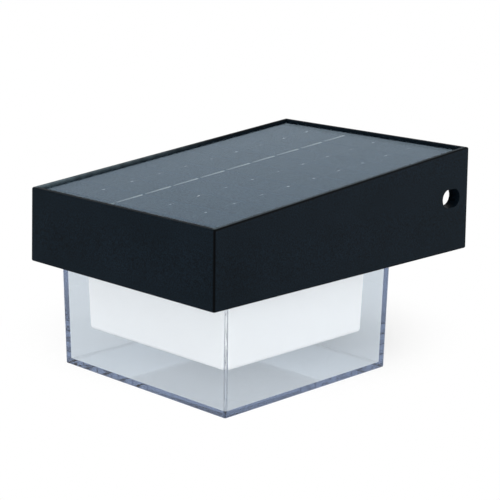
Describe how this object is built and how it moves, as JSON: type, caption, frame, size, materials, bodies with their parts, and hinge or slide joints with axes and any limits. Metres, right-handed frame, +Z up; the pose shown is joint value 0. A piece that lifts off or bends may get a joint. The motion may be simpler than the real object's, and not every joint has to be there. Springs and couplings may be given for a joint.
{
  "type": "solar wall light",
  "caption": "Wedge-shaped dark housing with a solar panel on its sloping top, over a clear square cover with an opal diffuser; an open rear bay and side slots fix it to a wall bracket.",
  "frame": {"origin": "on the wall plane, at mid-width and at the height of the two side slots, in the mouth of the bracket bay", "axes": "+Y into the wall, -Y out to the front, +Z up, +X to the right as seen from the front"},
  "size_m": [0.11, 0.154, 0.0909],
  "materials": {
    "housing_plastic": "fine-grained moulded black ABS",
    "button_plastic": "moulded dark grey ABS",
    "foam_tape": "black foam tape",
    "panel_laminate": "black glass-fibre board",
    "silicon": "dark blue monocrystalline silicon",
    "tinned_copper": "tinned ribbon",
    "panel_film": "satin clear film",
    "silicone": "translucent white silicone",
    "screw_steel": "zinc-plated",
    "clear_plastic": "clear moulded plastic",
    "opal_plastic": "milky white diffusing plastic",
    "white_plastic": "white moulded plastic",
    "white_board": "white solder mask",
    "lamp_phosphor": "yellow phosphor gel",
    "battery_can": "steel can in a shrink sleeve",
    "strap_nylon": "nylon band",
    "green_board": "green solder mask",
    "chip_resin": "black resin",
    "ferrite": "sintered grey",
    "capacitor_sleeve": "shrink sleeve",
    "socket_nylon": "natural nylon",
    "switch_plastic": "black moulded",
    "lead_pvc": "soft insulation"
  },
  "bodies": {
    "light": {"housing": "housing_plastic", "base_plate": "housing_plastic", "panel_tape": "foam_tape", "panel_board": "panel_laminate", "solar_cells": "silicon", "cell_ribbons": "tinned_copper", "panel_film": "panel_film", "base_seal": "silicone", "cover_seal": "silicone", "base_screws": "screw_steel", "led_tray_screws": "screw_steel", "led_board_screws": "screw_steel", "strap_screws": "screw_steel", "board_screws": "screw_steel", "clear_cover": "clear_plastic", "diffuser": "opal_plastic", "led_tray": "white_plastic", "led_board": "white_board", "led_chips": "lamp_phosphor", "battery_cell": "battery_can", "battery_strap": "strap_nylon", "control_board": "green_board", "charge_chip": "chip_resin", "boost_inductor": "ferrite", "filter_capacitor": "capacitor_sleeve", "wire_sockets": "socket_nylon", "switch_body": "switch_plastic", "panel_leads": "lead_pvc", "led_leads": "lead_pvc", "battery_leads": "lead_pvc"},
    "button": {"power_button": "button_plastic", "switch_plunger": "switch_plastic"}
  },
  "joints": [
    {"name": "button_press", "type": "slide", "parent": "light", "child": "button", "axis": [0, 0, 1], "range_m": [0, 0.0015], "stiffness_N_per_m": 400}
  ]
}
